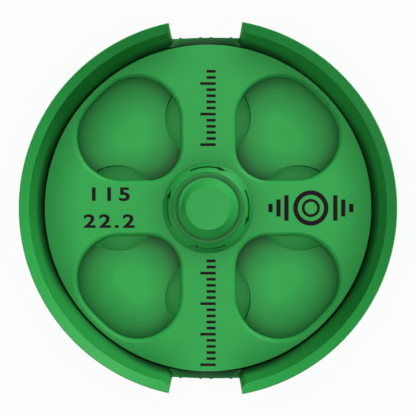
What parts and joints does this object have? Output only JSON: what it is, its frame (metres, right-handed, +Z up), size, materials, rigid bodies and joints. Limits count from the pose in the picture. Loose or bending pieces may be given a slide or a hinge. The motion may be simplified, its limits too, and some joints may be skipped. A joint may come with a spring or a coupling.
{
  "type": "grinding disc holder",
  "caption": "Round open tub for 115 mm grinding discs, with finger slots, a screw post and a four-spoked clamping lid that winds down onto the stack.",
  "frame": {"origin": "centre of the tub's underside", "axes": "+Z up along the screw post; the two finger slots face +Y and -Y"},
  "size_m": [0.1216, 0.1226, 0.0448],
  "materials": {
    "tub_plastic": "satin green printed plastic",
    "post_plastic": "satin green printed plastic",
    "plate_plastic": "satin green printed plastic",
    "lid_plastic": "satin green printed plastic",
    "bush_plastic": "satin green printed plastic",
    "inlay_plastic": "near-black inlaid markings"
  },
  "bodies": {
    "holder": {"tub": "tub_plastic", "centre_post": "post_plastic"},
    "plate": {"pressure_plate": "plate_plastic"},
    "lid": {"lid": "lid_plastic", "threaded_bush": "bush_plastic"}
  },
  "joints": [
    {"name": "plate_lift", "type": "slide", "parent": "holder", "child": "plate", "axis": [0, 0, 1], "range_m": [0, 0.042]},
    {"name": "lid_screw", "type": "hinge", "parent": "plate", "child": "lid", "pos_m": [0, 0, 0.0206], "axis": [0, 0, 1], "range_deg": [0, 2520]}
  ],
  "couplings": [
    {"joint": "plate_lift", "follows": "lid_screw", "m_per_rad": 0.00095493}
  ]
}
